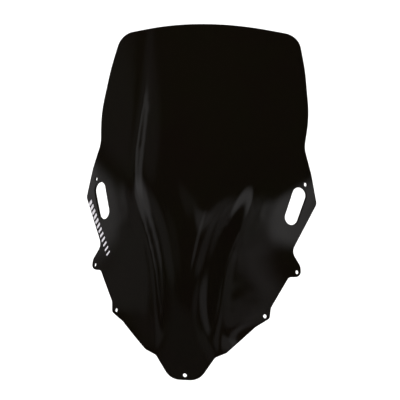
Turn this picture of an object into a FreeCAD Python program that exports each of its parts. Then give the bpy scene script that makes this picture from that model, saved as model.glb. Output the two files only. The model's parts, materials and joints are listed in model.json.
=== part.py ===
import FreeCAD, Part
import math
import os
from FreeCAD import Vector

# Motorcycle windshield screen: one thermoformed acrylic panel with a vinyl decal on its left wing.
# The panel is drawn in a drawing frame, +X to the right, +Y backwards and +Z up the screen, and is
# then leaned back by the rake about the centre hole, which is the origin. All sizes are millimetres.

# Whole screen
rakeAngle = 27.0
sheetThickness = 4.0
screenHeight = 578.5
tongueDrop = 7.6
wingHalfWidth = 196.4
wingHeight = 280.6
topHalfWidth = 154.0
topCornerDrop = 13.5
topCornerRadius = 32.0
upperHeight = screenHeight - wingHeight

# Mounting holes
holeDiameter = 6.5
lowHole = (123.4, 97.5)
midHole = (170.2, 168.6)
wingHoleInset = 18.6
wingHoleRise = 31.9

# Air slots in the wings, measured on the sheet
slotLength = 65.0
slotTopReach = 32.5
slotTopWidth = 26.6
slotBottomWidth = 25.4
slotLean = 22.0
slotInset = 33.0
slotDrop = 4.1

# Decal: slanted bars in a row along the left wing's lower edge
decalThickness = 0.12
barCount = 12
barHeight = 8.8
barPitch = 8.4
barWidthFirst = 5.8
barWidthLast = 3.0
barSlant = 1.9
barRadius = 0.6
rowInset = 5.0
rowStart = 12.2
rowTurn = 2.4

# Right half of the outline, going up: distance from the centre line, height, corner radius
lowX, lowZ = lowHole
midX, midZ = midHole
wingFoot = (wingHalfWidth - 36.0, midZ + 33.4)
rightOutline = [
    (23.2, -tongueDrop, 28.0),
    (48.6, 30.5, 10.0),
    (66.3, 38.5, 8.0),
    (lowX - 13.8, lowZ - 17.3, 12.0),
    (lowX + 7.4, lowZ - 3.6, 6.5),
    (lowX + 8.6, lowZ + 13.5, 14.0),
    (midX - 12.2, midZ - 8.0, 6.0),
    (midX + 6.4, midZ - 8.2, 8.0),
    (midX + 4.8, midZ + 9.4, 20.0),
    (*wingFoot, 18.0),
    (wingHalfWidth, wingHeight, 12.0),
    (wingHalfWidth - 10.2, wingHeight + 49.4, 120.0),
    (wingHalfWidth - 22.8, wingHeight + 0.31 * upperHeight, 45.0),
    (wingHalfWidth - 18.0, wingHeight + 0.49 * upperHeight, 220.0),
    (wingHalfWidth - 28.4, wingHeight + 0.75 * upperHeight, 300.0),
    (topHalfWidth, screenHeight - topCornerDrop, topCornerRadius),
    (60.0, screenHeight, 825.0),
]

# Sections of the outer face, going up: height, centre line depth, half width at the crease,
# depth of the bubble at the crease, slope of the flank beyond the crease
sections = [
    (-30.0, 1.0, 51.0, 1.0, 0.04),
    (0.0, 0.0, 52.0, 3.0, 0.06),
    (36.0, -5.5, 53.0, 8.5, 0.12),
    (70.0, -10.5, 49.0, 14.5, 0.25),
    (110.0, -15.5, 49.0, 21.0, 0.34),
    (160.0, -18.0, 54.0, 26.0, 0.43),
    (220.0, -14.0, 70.0, 33.0, 0.54),
    (wingHeight + 9.4, -3.0, 95.0, 41.5, 0.60),
    (wingHeight + 0.30 * upperHeight, 20.0, 103.0, 43.0, 0.53),
    (wingHeight + 0.57 * upperHeight, 53.0, 100.0, 37.0, 0.46),
    (wingHeight + 0.83 * upperHeight, 89.0, 103.0, 31.0, 0.42),
    (screenHeight + 30.0, 123.0, 105.0, 26.0, 0.40),
]
flankCurl = 0.002
creaseSoftness = 15.0

# How the surface is sampled and how far its cutters reach
columnsPerSide = 20
creaseSpread = 2.0
rowStep = 15.0
gridMargin = 20.0
depthReach = 400.0
cutReach = 20.0
surfaceTolerance = 0.001
shortestEdge = 0.001
slopeReach = 0.5


def valueUpTheScreen(column):
    """A smooth curve through one column of the sections, read by height."""
    heights = [row[0] for row in sections]
    points = [Vector(row[0], row[column], 0) for row in sections]
    curve = Part.BSplineCurve()
    curve.interpolate(Points=points, Parameters=heights)
    return lambda z: curve.value(z).y


centreDepth = valueUpTheScreen(1)
creaseHalfWidth = valueUpTheScreen(2)
bubbleDepth = valueUpTheScreen(3)
flankSlope = valueUpTheScreen(4)


def softStep(t):
    t = min(max(t, 0.0), 1.0)
    return t * t * t * (t * (6.0 * t - 15.0) + 10.0)


def skinDepth(x, z):
    """Depth of the outer face: a round bubble that turns into a flank at the crease."""
    out = abs(x)
    crease = creaseHalfWidth(z)
    bubble = bubbleDepth(z) * (out / crease) ** 2
    past = out - crease
    flank = bubbleDepth(z) + flankSlope(z) * past + flankCurl / 2 * past * abs(past)
    share = softStep(past / (2 * creaseSoftness) + 0.5)
    return centreDepth(z) + (1 - share) * bubble + share * flank


def skinPoint(x, z):
    return Vector(x, skinDepth(x, z), z)


def skinNormal(x, z):
    """Outward normal of the outer face, pointing forwards."""
    across = skinPoint(x + slopeReach, z) - skinPoint(x - slopeReach, z)
    up = skinPoint(x, z + slopeReach) - skinPoint(x, z - slopeReach)
    normal = across.cross(up)
    return normal.normalize()


def outerSkin():
    """The outer face as one smooth surface, its columns fanned so that they follow the creases.

    The columns run from right to left, so that the surface looks forwards.
    """
    halfWidth = wingHalfWidth + gridMargin
    low = -tongueDrop - gridMargin
    high = screenHeight + gridMargin
    rows = math.ceil((high - low) / rowStep)
    grid = []
    for j in range(rows + 1):
        z = low + (high - low) * j / rows
        spread = creaseSpread * creaseHalfWidth(z)
        line = []
        for i in range(columnsPerSide, -columnsPerSide - 1, -1):
            fan = i / columnsPerSide
            x = spread * fan + (halfWidth - spread) * fan ** 3
            line.append(skinPoint(x, z))
        grid.append(line)
    surface = Part.BSplineSurface()
    surface.interpolate(grid)
    return surface.toShape()


def roundedLoop(corners):
    """A closed wire through corners (x, y, radius), each rounded as far as its sides allow."""
    points = [Vector(x, y, 0) for x, y, radius in corners]
    count = len(points)
    toNext = [points[(i + 1) % count] - points[i] for i in range(count)]
    halfTurns = [toNext[i - 1].getAngle(toNext[i]) / 2 for i in range(count)]
    setbacks = [corners[i][2] * math.tan(halfTurns[i]) for i in range(count)]
    for i in range(count):
        wanted = setbacks[i] + setbacks[(i + 1) % count]
        if wanted > toNext[i].Length:
            setbacks[i] *= toNext[i].Length / wanted
            setbacks[(i + 1) % count] *= toNext[i].Length / wanted
    arcs = []
    for i in range(count):
        here = points[i]
        start = here - toNext[i - 1] * (setbacks[i] / toNext[i - 1].Length)
        end = here + toNext[i] * (setbacks[i] / toNext[i].Length)
        chordMiddle = (start + end) / 2
        sagitta = (start - end).Length / 2 * math.tan(halfTurns[i] / 2)
        middle = chordMiddle + (here - chordMiddle).normalize() * sagitta
        arcs.append((start, middle, end))
    edges = []
    for i in range(count):
        start, middle, end = arcs[i]
        nextStart = arcs[(i + 1) % count][0]
        edges.append(Part.Arc(start, middle, end).toShape())
        if end.distanceToPoint(nextStart) > shortestEdge:
            edges.append(Part.makeLine(end, nextStart))
    return Part.Wire(edges)


def alongDepth(wire, near, far):
    """A wire drawn with x across and y up the screen, made a prism that runs through the depth."""
    wire = wire.copy()
    wire.rotate(Vector(0, 0, 0), Vector(1, 0, 0), 90)
    wire.translate(Vector(0, near, 0))
    return Part.Face(wire).extrude(Vector(0, far - near, 0))


def facing(x, z):
    """A placement on the outer face: its z out of the sheet, its y up the screen."""
    normal = skinNormal(x, z)
    up = Vector(0, 0, 1) - normal * normal.z
    turn = FreeCAD.Rotation(up.cross(normal), up, normal, "ZXY")
    return FreeCAD.Placement(skinPoint(x, z), turn)


def throughCut(face, x, z):
    """A flat face stood on the outer face at a place and run through the sheet along its normal."""
    cutter = face.extrude(Vector(0, 0, 2 * cutReach))
    cutter.translate(Vector(0, 0, -cutReach))
    cutter.Placement = facing(x, z).multiply(cutter.Placement)
    return cutter


def drill(x, z):
    circle = Part.Wire(Part.makeCircle(holeDiameter / 2))
    return throughCut(Part.Face(circle), x, z)


def slotCutter(side):
    """The air slot: a long hole with round ends, wider at the top, leaning outwards.

    It hangs from its top end, which stays clear of the wing hole above it.
    """
    topRadius = slotTopWidth / 2
    bottomRadius = slotBottomWidth / 2
    span = slotLength - topRadius - bottomRadius
    flare = math.asin((topRadius - bottomRadius) / span)
    topCentre = Vector(0, slotTopReach - topRadius, 0)
    bottomCentre = topCentre - Vector(0, span, 0)
    outwards = Vector(math.cos(flare), -math.sin(flare), 0)
    inwards = Vector(-math.cos(flare), -math.sin(flare), 0)
    topRight = topCentre + outwards * topRadius
    topLeft = topCentre + inwards * topRadius
    bottomRight = bottomCentre + outwards * bottomRadius
    bottomLeft = bottomCentre + inwards * bottomRadius
    edges = [
        Part.Arc(topRight, topCentre + Vector(0, topRadius, 0), topLeft).toShape(),
        Part.makeLine(topLeft, bottomLeft),
        Part.Arc(bottomLeft, bottomCentre - Vector(0, bottomRadius, 0), bottomRight).toShape(),
        Part.makeLine(bottomRight, topRight),
    ]
    face = Part.Face(Part.Wire(edges))
    face.rotate(Vector(0, 0, 0), Vector(0, 0, 1), -side * slotLean)
    return throughCut(face, side * (wingHalfWidth - slotInset), wingHeight - slotDrop)


def mountingHoles():
    """Every hole as (x, height): the centre one, then three pairs going up."""
    wingHole = (wingHalfWidth - wingHoleInset, wingHeight + wingHoleRise)
    places = [(0.0, 0.0)]
    for x, z in (lowHole, midHole, wingHole):
        places.append((-x, z))
        places.append((x, z))
    return places


def screenPanel(skin):
    leftOutline = [(-x, z, radius) for x, z, radius in reversed(rightOutline)]
    outline = alongDepth(roundedLoop(rightOutline + leftOutline), -depthReach, depthReach)
    blank = outline.common(skin).Faces[0]
    panel = blank.makeOffsetShape(-sheetThickness, surfaceTolerance, fill=True)
    cutters = [slotCutter(-1), slotCutter(1)]
    cutters += [drill(x, z) for x, z in mountingHoles()]
    for cutter in cutters:
        panel = panel.cut(cutter)
    return panel.Solids[0]


def decalBars(skin):
    """A row of slanted bars that follows the left wing's lower edge, narrower down the row."""
    edgeLean = math.atan2(wingHalfWidth - wingFoot[0], wingHeight - wingFoot[1])
    startX = wingHalfWidth - rowStart * math.sin(edgeLean) - rowInset * math.cos(edgeLean)
    startZ = wingHeight - rowStart * math.cos(edgeLean) + rowInset * math.sin(edgeLean)
    rowLean = edgeLean + math.radians(rowTurn)
    halfHeight = barHeight / 2
    bars = []
    for i in range(barCount):
        width = barWidthFirst + (barWidthLast - barWidthFirst) * i / (barCount - 1)
        down = i * barPitch
        x = startX - down * math.sin(rowLean)
        z = startZ - down * math.cos(rowLean)
        corners = [
            (-halfHeight, -width / 2 - barSlant, barRadius),
            (halfHeight, -width / 2 + barSlant, barRadius),
            (halfHeight, width / 2 + barSlant, barRadius),
            (-halfHeight, width / 2 - barSlant, barRadius),
        ]
        face = Part.Face(roundedLoop(corners))
        face.rotate(Vector(0, 0, 0), Vector(0, 0, 1), math.degrees(rowLean))
        patch = throughCut(face, -x, z).common(skin).Faces[0]
        bars.append(patch.makeOffsetShape(decalThickness, surfaceTolerance, fill=True).Solids[0])
    return Part.makeCompound(bars)


def leanBack(shape):
    shape.rotate(Vector(0, 0, 0), Vector(1, 0, 0), -rakeAngle)
    return shape


os.makedirs("parts", exist_ok=True)
skin = outerSkin()
leanBack(screenPanel(skin)).exportStep("parts/screen_panel.step")
leanBack(decalBars(skin)).exportStep("parts/wing_decal.step")
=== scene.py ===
import bpy
import json
import math
import numpy as np
from mathutils import Matrix, Vector, kdtree
from mathutils.geometry import delaunay_2d_cdt


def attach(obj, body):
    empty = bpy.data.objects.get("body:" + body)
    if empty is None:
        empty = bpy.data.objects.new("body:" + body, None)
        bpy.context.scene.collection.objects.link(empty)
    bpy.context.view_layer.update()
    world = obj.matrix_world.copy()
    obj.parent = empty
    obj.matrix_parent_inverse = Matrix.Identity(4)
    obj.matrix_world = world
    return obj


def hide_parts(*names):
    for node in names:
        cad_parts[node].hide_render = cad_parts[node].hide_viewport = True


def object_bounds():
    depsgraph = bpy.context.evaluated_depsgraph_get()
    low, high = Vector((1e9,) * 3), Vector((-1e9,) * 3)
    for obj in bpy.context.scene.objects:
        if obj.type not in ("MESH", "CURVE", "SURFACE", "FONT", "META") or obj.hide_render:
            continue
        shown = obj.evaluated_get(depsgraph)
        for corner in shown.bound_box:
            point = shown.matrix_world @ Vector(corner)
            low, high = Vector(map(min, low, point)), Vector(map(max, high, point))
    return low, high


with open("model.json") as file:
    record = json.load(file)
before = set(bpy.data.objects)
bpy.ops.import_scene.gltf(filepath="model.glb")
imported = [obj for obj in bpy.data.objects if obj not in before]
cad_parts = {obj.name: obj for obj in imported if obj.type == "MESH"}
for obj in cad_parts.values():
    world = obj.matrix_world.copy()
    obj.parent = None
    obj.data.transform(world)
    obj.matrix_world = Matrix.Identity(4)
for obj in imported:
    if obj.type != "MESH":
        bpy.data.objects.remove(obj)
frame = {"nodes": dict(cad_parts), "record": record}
cadLow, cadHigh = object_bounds()
mm = 0.001


def linearColour(hexCode):
    # sRGB hex to the linear colour the shaders work in
    channels = [int(hexCode[i:i + 2], 16) / 255 for i in (1, 3, 5)]
    linear = [c / 12.92 if c <= 0.04045 else ((c + 0.055) / 1.055) ** 2.4 for c in channels]
    return (*linear, 1.0)


def addNode(tree, kind, values=None, links=None, **settings):
    # one node, its settings, the values on its sockets and the sockets that feed it
    node = tree.nodes.new(kind)
    for name, value in settings.items():
        setattr(node, name, value)
    for socket, value in (values or {}).items():
        node.inputs[socket].default_value = value
    for socket, source in (links or {}).items():
        tree.links.new(source, node.inputs[socket])
    return node


def newMaterial(name):
    material = bpy.data.materials.new(name)
    material.use_nodes = True
    material.node_tree.nodes.clear()
    return material, material.node_tree


# the formed sheet, rebuilt smooth from the CAD panel
sheet = {
    "fitCells": [32.0 * mm, 16.0 * mm, 8.0 * mm],   # spacing of the control points, coarse to fine
    "fitStiffness": 0.004,      # how firmly the fit bridges gaps between CAD points
    "fitRounds": 400,
    "fitDone": 1e-24,           # a fit stops early below this
    "facing": 3.4 * mm,         # spacing of the mesh points
    "rowShare": 0.866,          # honeycomb rows, as a share of that spacing
    "clearShare": 0.62,         # mesh points keep this share of it away from a cut edge
    "weld": 1e-7,               # mesh points nearer than this are one
    "edgeStep": 1.8 * mm,       # spacing along the cut edges
    "edgeRadius": 1.1 * mm,     # flame-polished round on every cut edge
    "drilledLoop": 40 * mm,     # a cut edge shorter than this is a drilled hole
    "drilledRadius": 0.5 * mm,  # the holes are only deburred
    "drilledSteps": 40,         # points round a hole, and the fewest round any edge
    "curveSteps": 24,           # fine steps between two CAD points of an edge
    "arcSteps": 5,
}


def skinOfPanel(node):
    # the CAD mesh keeps its faces apart, so the outer face is the largest island that looks forwards
    mesh = node.data
    points = np.empty(len(mesh.vertices) * 3)
    mesh.vertices.foreach_get("co", points)
    points = points.reshape(-1, 3)
    corners = np.array([list(p.vertices) for p in mesh.polygons])
    label = np.arange(len(points))
    while True:
        lowest = label[corners].min(axis=1)
        new = label.copy()
        for k in range(3):
            np.minimum.at(new, corners[:, k], lowest)
        new = new[new]
        if (new == label).all():
            break
        label = new
    faceLabel = label[corners[:, 0]]
    a, b, c = (points[corners[:, k]] for k in range(3))
    normals = np.cross(b - a, c - a) / 2
    forward = averageAxis()
    best, bestArea = None, 0.0
    for island in np.unique(faceLabel):
        area = float((normals[faceLabel == island] @ forward).sum())
        if area > bestArea:
            best, bestArea = island, area
    return points, corners[faceLabel == best]


def averageAxis():
    # the mounting holes' axes, averaged, look along the middle of the sheet's forward side
    axes = np.array([m["axis"] for m in frame["record"]["mounts"]])
    total = axes.sum(axis=0)
    total[0] = 0.0
    return total / np.linalg.norm(total)


def splineWeights(t):
    second = 3 * t ** 3 - 6 * t ** 2 + 4
    third = -3 * t ** 3 + 3 * t ** 2 + 3 * t + 1
    return np.stack([(1 - t) ** 3, second, third, t ** 3], -1) / 6


def splineSlopes(t):
    return np.stack([-(1 - t) ** 2, 3 * t ** 2 - 4 * t, -3 * t ** 2 + 2 * t + 1, t ** 2], -1) / 2


class FairSurface:
    # a smooth height field over the sheet's own plane, fitted to the CAD points from coarse to fine
    def __init__(self, points, forward):
        self.across = np.array([1.0, 0.0, 0.0])
        self.forward = forward
        self.rise = np.cross(forward, self.across)
        self.levels = []
        flat = self.flatten(points)
        self.middle = (points @ forward).mean()
        left = points @ forward - self.middle
        for cell in sheet["fitCells"]:
            left = self.fit(flat, left, cell)
            error = round(float(abs(left).max()) / mm, 3)
            print("sheet fitted at", round(cell / mm), "mm, largest error", error, "mm")

    def flatten(self, points):
        return np.stack([points @ self.across, points @ self.rise], -1)

    def cells(self, flat, low, cell, shape):
        place = (flat - low) / cell
        whole = np.clip(np.floor(place).astype(int), 0, np.array(shape) - 4)
        index = (whole[:, 0, None, None] + np.arange(4)[None, :, None]) * shape[1]
        index = index + whole[:, 1, None, None] + np.arange(4)[None, None, :]
        return index.reshape(len(flat), 16), place - whole

    def fit(self, flat, heights, cell):
        low = flat.min(axis=0) - 3 * cell
        shape = tuple(np.ceil((flat.max(axis=0) + 3 * cell - low) / cell).astype(int) + 4)
        index, part = self.cells(flat, low, cell, shape)
        weights = splineWeights(part[:, 0])[:, :, None] * splineWeights(part[:, 1])[:, None, :]
        weights = weights.reshape(len(flat), 16)
        size = shape[0] * shape[1]

        def gather(values):
            return np.bincount(index.ravel(), (weights * values[:, None]).ravel(), size)

        def bend(c):
            grid = c.reshape(shape)
            out = np.zeros_like(grid)
            for turned, held in ((grid, out), (grid.T, out.T)):
                change = turned[2:] - 2 * turned[1:-1] + turned[:-2]
                held[2:] += change
                held[1:-1] -= 2 * change
                held[:-2] += change
            return out.ravel()

        c = np.zeros(size)
        left = gather(heights)
        step = left.copy()
        energy = left @ left
        for _ in range(sheet["fitRounds"]):
            pushed = gather((weights * step[index]).sum(axis=1)) + sheet["fitStiffness"] * bend(step)
            stride = energy / (step @ pushed)
            c += stride * step
            left -= stride * pushed
            now = left @ left
            step = left + (now / energy) * step
            energy = now
            if now < sheet["fitDone"]:
                break
        self.levels.append((low, cell, shape, c))
        return heights - (weights * c[index]).sum(axis=1)

    def at(self, flat):
        # points and outward normals for places on the sheet's plane
        height, slopeX, slopeY = np.full(len(flat), self.middle), np.zeros(len(flat)), np.zeros(len(flat))
        for low, cell, shape, c in self.levels:
            index, part = self.cells(flat, low, cell, shape)
            local = c[index].reshape(len(flat), 4, 4)
            wx, wy = splineWeights(part[:, 0]), splineWeights(part[:, 1])
            dx, dy = splineSlopes(part[:, 0]) / cell, splineSlopes(part[:, 1]) / cell
            height += np.einsum("nij,ni,nj->n", local, wx, wy)
            slopeX += np.einsum("nij,ni,nj->n", local, dx, wy)
            slopeY += np.einsum("nij,ni,nj->n", local, wx, dy)
        points = flat[:, :1] * self.across + flat[:, 1:] * self.rise + height[:, None] * self.forward
        normals = self.forward - slopeX[:, None] * self.across - slopeY[:, None] * self.rise
        return points, normals / np.linalg.norm(normals, axis=1)[:, None]


def edgeLoops(corners):
    # the edges that only one triangle uses, chained head to tail
    seen = {}
    for tri in corners:
        for k in range(3):
            a, b = int(tri[k]), int(tri[(k + 1) % 3])
            if (b, a) in seen:
                del seen[(b, a)]
            else:
                seen[(a, b)] = True
    following = {a: b for a, b in seen}
    loops = []
    while following:
        start = next(iter(following))
        loop = [start]
        here = following.pop(start)
        while here != start:
            loop.append(here)
            here = following.pop(here)
        loops.append(loop)
    return loops


def evenLoop(points, step):
    # a closed centripetal curve through the points, then even steps along it
    previous, following, after = np.roll(points, 1, 0), np.roll(points, -1, 0), np.roll(points, -2, 0)
    k0 = np.linalg.norm(points - previous, axis=1) ** 0.5
    k1 = np.linalg.norm(following - points, axis=1) ** 0.5
    k2 = np.linalg.norm(after - following, axis=1) ** 0.5
    startPull = (points - previous) / k0[:, None] - (following - previous) / (k0 + k1)[:, None]
    startPull = (startPull + (following - points) / k1[:, None]) * k1[:, None]
    endPull = (following - points) / k1[:, None] - (after - points) / (k1 + k2)[:, None]
    endPull = (endPull + (after - following) / k2[:, None]) * k1[:, None]
    fine = []
    for t in np.arange(sheet["curveSteps"]) / sheet["curveSteps"]:
        fine.append(
            (2 * t ** 3 - 3 * t ** 2 + 1) * points
            + (t ** 3 - 2 * t ** 2 + t) * startPull
            + (3 * t ** 2 - 2 * t ** 3) * following
            + (t ** 3 - t ** 2) * endPull
        )
    fine = np.stack(fine, 1).reshape(-1, points.shape[1])
    closed = np.vstack([fine, fine[:1]])
    run = np.concatenate([[0], np.cumsum(np.linalg.norm(np.diff(closed, axis=0), axis=1))])
    count = max(sheet["drilledSteps"], int(round(run[-1] / step)))
    places = np.arange(count) * run[-1] / count
    return np.stack([np.interp(places, run, closed[:, k]) for k in range(points.shape[1])], -1), run[-1]


def insideLoops(spots, loops):
    # even-odd rule over every loop: inside the outline and outside its holes
    inside = np.zeros(len(spots), bool)
    for loop in loops:
        a, b = loop, np.roll(loop, -1, 0)
        for p, q in zip(a, b):
            crosses = (p[1] > spots[:, 1]) != (q[1] > spots[:, 1])
            if crosses.any():
                x = p[0] + (spots[:, 1] - p[1]) * (q[0] - p[0]) / (q[1] - p[1] + 1e-30)
                inside ^= crosses & (spots[:, 0] < x)
    return inside


def panelThickness():
    # every hole goes straight through the sheet, so the length of its mount is the wall
    return min(m["dims"]["length_mm"] for m in frame["record"]["mounts"]) * mm


def cutEdges(surface, points, corners):
    # each cut edge as even points on the surface, with the loop set in by its edge radius
    rims, insetLoops = [], []
    for loop in edgeLoops(corners):
        flat, length = evenLoop(surface.flatten(points[loop]), sheet["edgeStep"])
        drilled = length < sheet["drilledLoop"]
        if drilled:
            flat, length = evenLoop(surface.flatten(points[loop]), length / sheet["drilledSteps"])
        radius = sheet["drilledRadius"] if drilled else sheet["edgeRadius"]
        edge, normal = surface.at(flat)
        tangent = np.roll(edge, -1, 0) - np.roll(edge, 1, 0)
        tangent /= np.linalg.norm(tangent, axis=1)[:, None]
        outward = np.cross(tangent, normal)
        insetLoops.append(surface.flatten(edge - outward * radius))
        rims.append((edge, normal, outward, radius))
    return rims, insetLoops


def honeycomb(insetLoops):
    # points inside the loops, kept clear of the edges
    pitch = sheet["facing"]
    rise = pitch * sheet["rowShare"]
    edgePoints = np.vstack(insetLoops)
    low, high = edgePoints.min(0), edgePoints.max(0)
    spots = []
    for j in range(int((high[1] - low[1]) / rise) + 1):
        xs = np.arange(low[0] + pitch / 2 * (j % 2), high[0], pitch)
        spots.append(np.stack([xs, np.full(len(xs), low[1] + j * rise)], -1))
    spots = np.vstack(spots)
    spots = spots[insideLoops(spots, insetLoops)]
    tree = kdtree.KDTree(len(edgePoints))
    for i, p in enumerate(edgePoints):
        tree.insert((p[0], p[1], 0), i)
    tree.balance()
    clear = [tree.find((p[0], p[1], 0))[2] > sheet["clearShare"] * pitch for p in spots]
    return spots[np.array(clear)]


def triangulate(insetLoops):
    # flat triangles between the loops, all turned the same way, and where each edge point ended up
    flat = np.vstack(insetLoops + [honeycomb(insetLoops)])
    bounds, start = [], 0
    for loop in insetLoops:
        count = len(loop)
        bounds += [(start + i, start + (i + 1) % count) for i in range(count)]
        start += count
    made = delaunay_2d_cdt([Vector(p) for p in flat], bounds, [], 0, sheet["weld"])
    flat = np.array([tuple(p) for p in made[0]])
    order = {old: new for new, olds in enumerate(made[3]) for old in olds}
    triangles = np.array([list(t) for t in made[2]])
    triangles = triangles[insideLoops(flat[triangles].mean(axis=1), insetLoops)]
    first, second, third = (flat[triangles[:, k]] for k in range(3))
    one, two = second - first, third - first
    turn = one[:, 0] * two[:, 1] - one[:, 1] * two[:, 0]
    triangles[turn < 0] = triangles[turn < 0][:, ::-1]
    return flat, triangles, order


def roundRings(rim, thickness):
    # the rings of a rounded cut edge, from the outer face round to the back
    edge, normal, outward, radius = rim
    centre = edge - outward * radius
    quarter = np.arange(1, sheet["arcSteps"] + 1) / sheet["arcSteps"] * math.pi / 2
    rings = []
    for angle in quarter:
        depth = radius - radius * math.cos(angle)
        ring = centre + outward * radius * math.sin(angle) - normal * depth
        rings.append((ring, outward * math.sin(angle) + normal * math.cos(angle)))
    for angle in quarter[::-1]:
        depth = thickness - radius + radius * math.cos(angle)
        ring = centre + outward * radius * math.sin(angle) - normal * depth
        rings.append((ring, outward * math.sin(angle) - normal * math.cos(angle)))
    return rings


def buildPanel():
    node = frame["nodes"]["screen_panel"]
    points, corners = skinOfPanel(node)
    used = np.unique(corners)
    surface = FairSurface(points[used], averageAxis())
    thickness = panelThickness()
    print("outer face:", len(used), "points, sheet", round(thickness / mm, 2), "mm thick")

    rims, insetLoops = cutEdges(surface, points, corners)
    flat, triangles, order = triangulate(insetLoops)
    front, frontNormals = surface.at(flat)
    count = len(front)
    vertices = [front, front - frontNormals * thickness]
    normals = [frontNormals, -frontNormals]
    faces = [tuple(t) for t in triangles] + [tuple(int(i) + count for i in t[::-1]) for t in triangles]
    total, start = 2 * count, 0
    for rim in rims:
        n = len(rim[0])
        rings = [[order[start + i] for i in range(n)]]
        for ring, ringNormals in roundRings(rim, thickness):
            vertices.append(ring)
            normals.append(ringNormals)
            rings.append(list(range(total, total + n)))
            total += n
        rings.append([order[start + i] + count for i in range(n)])
        start += n
        for upper, lower in zip(rings, rings[1:]):
            for i in range(n):
                j = (i + 1) % n
                faces.append((upper[i], lower[i], lower[j], upper[j]))
    vertices, normals = np.vstack(vertices), np.vstack(normals)
    mesh = bpy.data.meshes.new("formedSheet")
    mesh.from_pydata(vertices.tolist(), [], faces)
    mesh.validate()
    mesh.update()
    mesh.polygons.foreach_set("use_smooth", [True] * len(mesh.polygons))
    mesh.normals_split_custom_set_from_vertices(normals.tolist())
    panel = bpy.data.objects.new("formedSheet", mesh)
    bpy.context.collection.objects.link(panel)
    print("formed sheet:", len(vertices), "points,", len(faces), "faces")
    return panel


acrylic = {
    "smoke": ("#0a0504", "#090903"),   # the tint drifts between these
    "smokeSize": 71.4 * mm,
    "index": 1.49,
    "roughness": (0.03, 0.07),         # clean, and where it has been wiped
    "wipeSize": 33.3 * mm,
    "wipeSpan": (0.35, 0.7),           # part of the pattern that the roughness follows
    "waveSize": 111.1 * mm,            # what the mould leaves
    "waveHeight": 0.15 * mm,
}


def smokedCastAcrylic():
    # cast acrylic, deep smoke, thermoformed over a mould: a mirror-like black with very slight waves
    material, tree = newMaterial("smokedCastAcrylic")
    place = addNode(tree, "ShaderNodeTexCoord").outputs["Object"]
    smoke = addNode(
        tree,
        "ShaderNodeTexNoise",
        {"Scale": 1 / acrylic["smokeSize"], "Detail": 3.0},
        {"Vector": place},
    )
    tint = addNode(tree, "ShaderNodeValToRGB", None, {"Fac": smoke.outputs["Fac"]})
    for stop, hexCode in zip(tint.color_ramp.elements, acrylic["smoke"]):
        stop.color = linearColour(hexCode)
    wiped = addNode(
        tree,
        "ShaderNodeTexNoise",
        {"Scale": 1 / acrylic["wipeSize"], "Detail": 6.0, "Roughness": 0.6},
        {"Vector": place},
    )
    wipeLow, wipeHigh = acrylic["wipeSpan"]
    clean, worn = acrylic["roughness"]
    haze = addNode(
        tree,
        "ShaderNodeMapRange",
        {"From Min": wipeLow, "From Max": wipeHigh, "To Min": clean, "To Max": worn},
        {"Value": wiped.outputs["Fac"]},
    )
    wave = addNode(
        tree,
        "ShaderNodeTexNoise",
        {"Scale": 1 / acrylic["waveSize"], "Detail": 1.5},
        {"Vector": place},
    )
    bump = addNode(
        tree,
        "ShaderNodeBump",
        {"Strength": 1.0, "Distance": acrylic["waveHeight"]},
        {"Height": wave.outputs["Fac"]},
    )
    shader = addNode(
        tree,
        "ShaderNodeBsdfPrincipled",
        {"IOR": acrylic["index"], "Metallic": 0.0},
        {
            "Base Color": tint.outputs["Color"],
            "Roughness": haze.outputs["Result"],
            "Normal": bump.outputs["Normal"],
        },
    )
    addNode(tree, "ShaderNodeOutputMaterial", None, {"Surface": shader.outputs["BSDF"]})
    return material


vinyl = {
    "white": ("#d6d2d9", "#ebe8ee"),
    "grainSize": 1.11 * mm,            # coarser than the real film, whose grain is too fine to show
    "grainHeight": 0.03 * mm,
    "grainStrength": 0.3,
    "index": 1.5,
    "roughness": 0.38,
}


def cutVinylFilm():
    # cut vinyl film, calendered: a soft satin white with faint unevenness
    material, tree = newMaterial("cutVinylFilm")
    place = addNode(tree, "ShaderNodeTexCoord").outputs["Object"]
    grain = addNode(
        tree,
        "ShaderNodeTexNoise",
        {"Scale": 1 / vinyl["grainSize"], "Detail": 2.0},
        {"Vector": place},
    )
    tint = addNode(tree, "ShaderNodeValToRGB", None, {"Fac": grain.outputs["Fac"]})
    for stop, hexCode in zip(tint.color_ramp.elements, vinyl["white"]):
        stop.color = linearColour(hexCode)
    bump = addNode(
        tree,
        "ShaderNodeBump",
        {"Strength": vinyl["grainStrength"], "Distance": vinyl["grainHeight"]},
        {"Height": grain.outputs["Fac"]},
    )
    shader = addNode(
        tree,
        "ShaderNodeBsdfPrincipled",
        {"IOR": vinyl["index"], "Roughness": vinyl["roughness"]},
        {"Base Color": tint.outputs["Color"], "Normal": bump.outputs["Normal"]},
    )
    addNode(tree, "ShaderNodeOutputMaterial", None, {"Surface": shader.outputs["BSDF"]})
    return material


panel = buildPanel()
panel.data.materials.append(smokedCastAcrylic())
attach(panel, "root")
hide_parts("screen_panel")

decal = frame["nodes"]["wing_decal"]
decal.data.materials.clear()
decal.data.materials.append(cutVinylFilm())
print("screen panel in acrylic, wing decal in vinyl")


studio = {
    "floorDrop": 0.45,      # floor this far under the screen's lowest point
    "floorHalf": 12.0,
    "floorPaint": "#f6f6f6",
    "floorRoughness": 0.9,
    "floorLight": 4.6,
    "lightSpread": 40.0,    # degrees
    "surround": "#ffffff",
}


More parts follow.
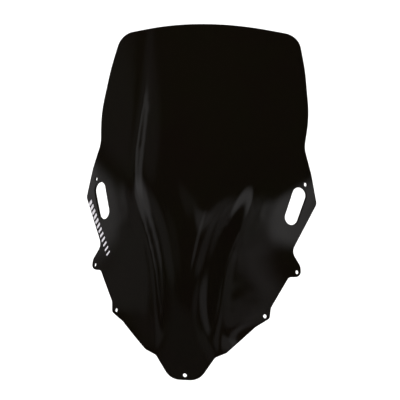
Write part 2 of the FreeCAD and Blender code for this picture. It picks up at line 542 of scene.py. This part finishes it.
def paintedFloor():
    # matt white painted boards: even, no gloss
    material, tree = newMaterial("mattWhitePaint")
    shader = addNode(
        tree,
        "ShaderNodeBsdfPrincipled",
        {"Base Color": linearColour(studio["floorPaint"]), "Roughness": studio["floorRoughness"]},
    )
    addNode(tree, "ShaderNodeOutputMaterial", None, {"Surface": shader.outputs["BSDF"]})
    half = studio["floorHalf"]
    z = cadLow.z - studio["floorDrop"]
    mesh = bpy.data.meshes.new("studioFloor")
    corners = [(-half, -half, z), (half, -half, z), (half, half, z), (-half, half, z)]
    mesh.from_pydata(corners, [], [(0, 1, 2, 3)])
    mesh.materials.append(material)
    floor = bpy.data.objects.new("studioFloor", mesh)
    floor.visible_glossy = False   # not seen in the screen; the low panel of the room stands in for its glow
    bpy.context.collection.objects.link(floor)


def floorWash():
    # an even light from straight above, which the screen doesn't mirror
    light = bpy.data.lights.new("floorWash", "SUN")
    light.energy = studio["floorLight"]
    light.angle = math.radians(studio["lightSpread"])
    sun = bpy.data.objects.new("floorWash", light)
    sun.visible_glossy = False
    bpy.context.collection.objects.link(sun)


# the room is dark, with soft white panels round it; bearing and height in degrees, halves of length and
# depth, tilt, brightness
room = {
    "walls": ("#272320", 1.5),
    "ramp": (0.35, 1.5),      # each panel is even inside the first and gone past the second
    "white": "#e2e1e4",
    "panels": [
        (22, 39, 20, 3, -18, 0.32),
        (18, 34, 12, 3, 26, 0.30),
        (-18, 47, 24, 4, 0, 0.08),
        (50, 29, 16, 4.5, -22, 0.20),
        (36, 25, 14, 5, 0, 0.17),
        (73, 15, 8, 5, -8, 0.75),
        (61, 19, 10, 4.5, -14, 0.20),
        (45, 9, 10, 5.5, -4, 0.30),
        (24, 13, 12, 4, 14, 0.11),
        (-46, 25, 16, 6, 4, 0.05),
        (-68, 13, 20, 6.5, 6, 0.15),
        (-89, 4, 8, 8.5, 0, 0.50),
        (-98, 15, 13, 3.5, 119, 0.40),
        (-92, 28, 12, 10, 0, 0.07),
        (-106, 34, 6, 12, 0, 0.24),
        (-15, 5, 45, 6, 0, 0.06),
        (150, 30, 24, 14, 0, 0.60),
        (-150, 30, 24, 14, 0, 0.60),
        (0, -76, 330, 42, 0, 0.55),
    ],
}


def wallPanel(tree, spot, panel):
    # one soft ellipse of light at a bearing and height
    azimuth, elevation, halfLong, halfDeep, tilt, level = panel
    local = addNode(
        tree,
        "ShaderNodeMapping",
        {
            "Location": (math.radians(azimuth), math.radians(elevation), 0),
            "Rotation": (0, 0, math.radians(tilt)),
            "Scale": (math.radians(halfLong), math.radians(halfDeep), 1),
        },
        {"Vector": spot.outputs[0]},
        vector_type="TEXTURE",
    )
    reach = addNode(tree, "ShaderNodeVectorMath", None, {0: local.outputs[0]}, operation="LENGTH")
    near, far = room["ramp"]
    fade = addNode(
        tree,
        "ShaderNodeMapRange",
        {"From Min": near, "From Max": far, "To Min": level, "To Max": 0.0},
        {"Value": reach.outputs["Value"]},
        interpolation_type="SMOOTHERSTEP",
    )
    return addNode(
        tree,
        "ShaderNodeVectorMath",
        {0: linearColour(room["white"])[:3]},
        {"Scale": fade.outputs["Result"]},
        operation="SCALE",
    )


def buildRoom():
    # the camera sees a plain white surround, and reflections and light come from the room
    world = bpy.data.worlds.new("studioRoom")
    bpy.context.scene.world = world
    world.use_nodes = True
    tree = world.node_tree
    tree.nodes.clear()
    place = addNode(tree, "ShaderNodeTexCoord")
    axes = addNode(tree, "ShaderNodeSeparateXYZ", None, {0: place.outputs["Generated"]})
    turned = addNode(tree, "ShaderNodeMath", {1: -1.0}, {0: axes.outputs["Y"]}, operation="MULTIPLY")
    bearing = addNode(
        tree,
        "ShaderNodeMath",
        None,
        {0: axes.outputs["X"], 1: turned.outputs[0]},
        operation="ARCTAN2",
    )
    height = addNode(tree, "ShaderNodeMath", None, {0: axes.outputs["Z"]}, operation="ARCSINE")
    spot = addNode(tree, "ShaderNodeCombineXYZ", None, {"X": bearing.outputs[0], "Y": height.outputs[0]})
    wallColour, wallLevel = room["walls"]
    red, green, blue = (c * wallLevel for c in linearColour(wallColour)[:3])
    glow = addNode(tree, "ShaderNodeCombineXYZ", {"X": red, "Y": green, "Z": blue})
    for panel in room["panels"]:
        light = wallPanel(tree, spot, panel)
        glow = addNode(
            tree,
            "ShaderNodeVectorMath",
            None,
            {0: glow.outputs[0], 1: light.outputs[0]},
            operation="ADD",
        )
    path = addNode(tree, "ShaderNodeLightPath")
    lit = addNode(tree, "ShaderNodeBackground", None, {"Color": glow.outputs[0]})
    surround = linearColour(studio["surround"])
    white = addNode(tree, "ShaderNodeBackground", {"Color": surround, "Strength": 1.0})
    mix = addNode(
        tree,
        "ShaderNodeMixShader",
        None,
        {0: path.outputs["Is Camera Ray"], 1: lit.outputs["Background"], 2: white.outputs["Background"]},
    )
    addNode(tree, "ShaderNodeOutputWorld", None, {"Surface": mix.outputs["Shader"]})


paintedFloor()
floorWash()
buildRoom()
print("studio:", len(room["panels"]), "soft panels")


# angles in degrees; the aim is measured from the middle of the screen's box
view = {
    "azimuth": 10.09,
    "elevation": 26.9,
    "roll": -2.95,
    "distance": 2.3156,
    "lens": 126.0,
    "sensor": 36.0,
    "aim": (5.6 * mm, -3.7 * mm, -9.2 * mm),
}


def placeCamera():
    data = bpy.data.cameras.new("camera")
    data.lens = view["lens"]
    data.sensor_width = view["sensor"]
    camera = bpy.data.objects.new("camera", data)
    bpy.context.collection.objects.link(camera)
    azimuth, elevation = math.radians(view["azimuth"]), math.radians(view["elevation"])
    level = math.cos(elevation)
    back = Vector((math.sin(azimuth) * level, -math.cos(azimuth) * level, math.sin(elevation)))
    aim = (cadLow + cadHigh) / 2 + Vector(view["aim"])
    camera.location = aim + back * view["distance"]
    camera.rotation_mode = "QUATERNION"
    roll = Matrix.Rotation(math.radians(view["roll"]), 4, "Z").to_quaternion()
    camera.rotation_quaternion = (-back).to_track_quat("-Z", "Y") @ roll
    bpy.context.scene.camera = camera
    bpy.context.scene.view_settings.view_transform = "Standard"


placeCamera()
print("camera placed")
